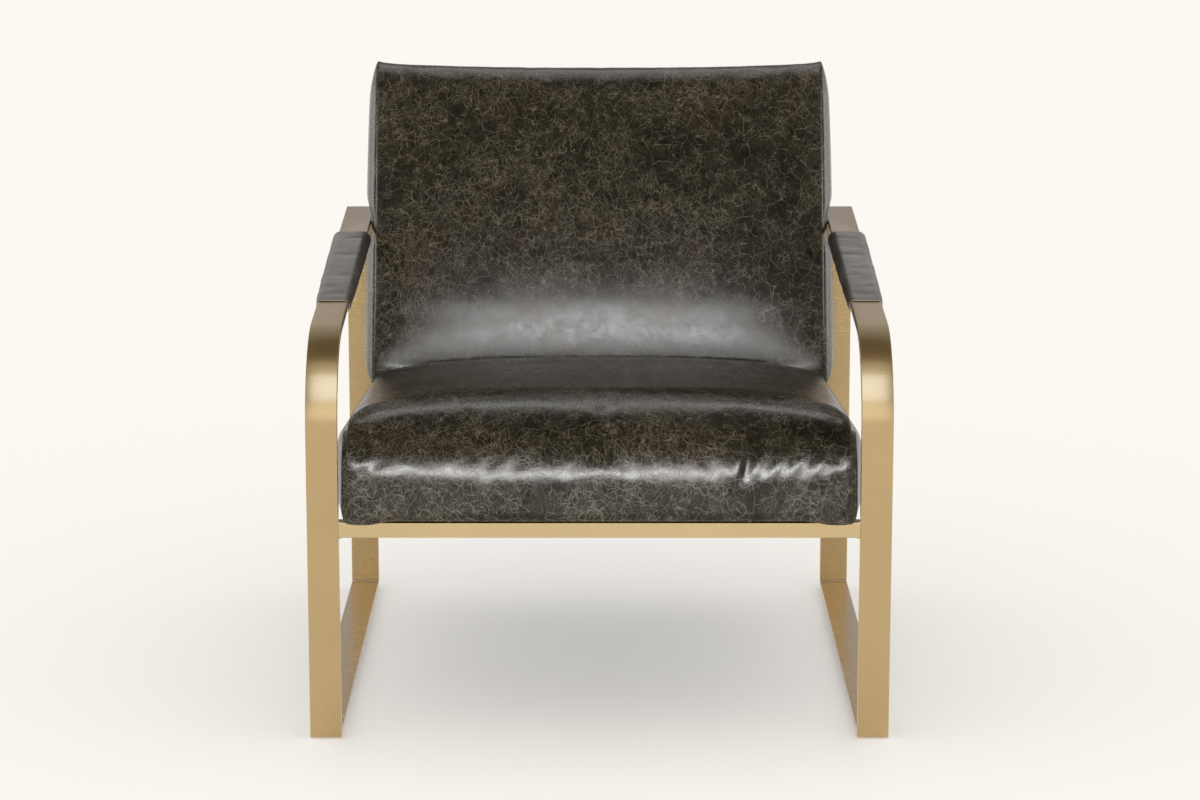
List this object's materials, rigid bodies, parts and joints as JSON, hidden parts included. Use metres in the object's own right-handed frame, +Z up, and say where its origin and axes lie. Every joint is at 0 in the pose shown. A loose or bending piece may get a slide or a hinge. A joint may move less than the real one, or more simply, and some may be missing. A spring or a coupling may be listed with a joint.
{
  "type": "lounge armchair",
  "caption": "Low lounge armchair: side frames of bent flat bar in a brass finish, leather seat cushion, reclined leather back cushion and leather sleeves round the arms",
  "frame": {"origin": "on the floor, under the middle of the chair's bounding box", "axes": "+X to the right seen from the front, +Y from the front to the rear, +Z up"},
  "size_m": [0.7134, 0.7954, 0.751],
  "materials": {
    "brass_finish": "satin brass plating on steel",
    "cushion_leather": "dark olive brown waxed leather, glossy, with fine pale crackle",
    "arm_leather": "dark grey brown leather, semi-gloss",
    "padding": "cream upholstery foam",
    "hidden_wood": "plain sawn plywood and hardwood",
    "webbing": "woven elastic webbing",
    "dust_cloth": "black non-woven dust cloth",
    "glide": "black moulded nylon",
    "bolt_steel": "zinc plated steel"
  },
  "bodies": {
    "root": {"seat_front_rail": "hidden_wood", "seat_rear_rail": "hidden_wood", "seat_side_rail_left": "hidden_wood", "seat_side_rail_right": "hidden_wood", "seat_corner_block_front_left": "hidden_wood", "seat_corner_block_rear_left": "hidden_wood", "seat_corner_block_front_right": "hidden_wood", "seat_corner_block_rear_right": "hidden_wood", "seat_strap_1": "webbing", "seat_strap_2": "webbing", "seat_strap_3": "webbing", "seat_strap_4": "webbing", "seat_strap_5": "webbing", "seat_dust_cover": "dust_cloth", "seat_foam": "padding", "seat_cover": "cushion_leather", "seat_side_panel_left": "cushion_leather", "seat_side_panel_right": "cushion_leather", "back_bottom_rail": "hidden_wood", "back_top_rail": "hidden_wood", "back_stile_left": "hidden_wood", "back_stile_right": "hidden_wood", "back_post_left": "hidden_wood", "back_post_right": "hidden_wood", "back_strap_1": "webbing", "back_strap_2": "webbing", "back_strap_3": "webbing", "back_strap_4": "webbing", "back_foam": "padding", "back_cover": "cushion_leather", "back_side_panel_left": "cushion_leather", "back_side_panel_right": "cushion_leather", "back_rear_panel": "cushion_leather", "left_arm_bar": "brass_finish", "left_rear_leg": "brass_finish", "left_floor_runner": "brass_finish", "left_arm_pad": "padding", "left_arm_sleeve": "arm_leather", "front_glide_left": "glide", "rear_glide_left": "glide", "right_arm_bar": "brass_finish", "right_rear_leg": "brass_finish", "right_floor_runner": "brass_finish", "right_arm_pad": "padding", "right_arm_sleeve": "arm_leather", "front_glide_right": "glide", "rear_glide_right": "glide", "front_crossbar": "brass_finish", "rear_crossbar": "brass_finish", "back_crossbar": "brass_finish", "seat_front_bolt_left": "bolt_steel", "seat_front_bolt_right": "bolt_steel", "seat_rear_bolt_left": "bolt_steel", "seat_rear_bolt_right": "bolt_steel", "back_bolt_left": "bolt_steel", "back_bolt_right": "bolt_steel"}
  },
  "joints": []
}
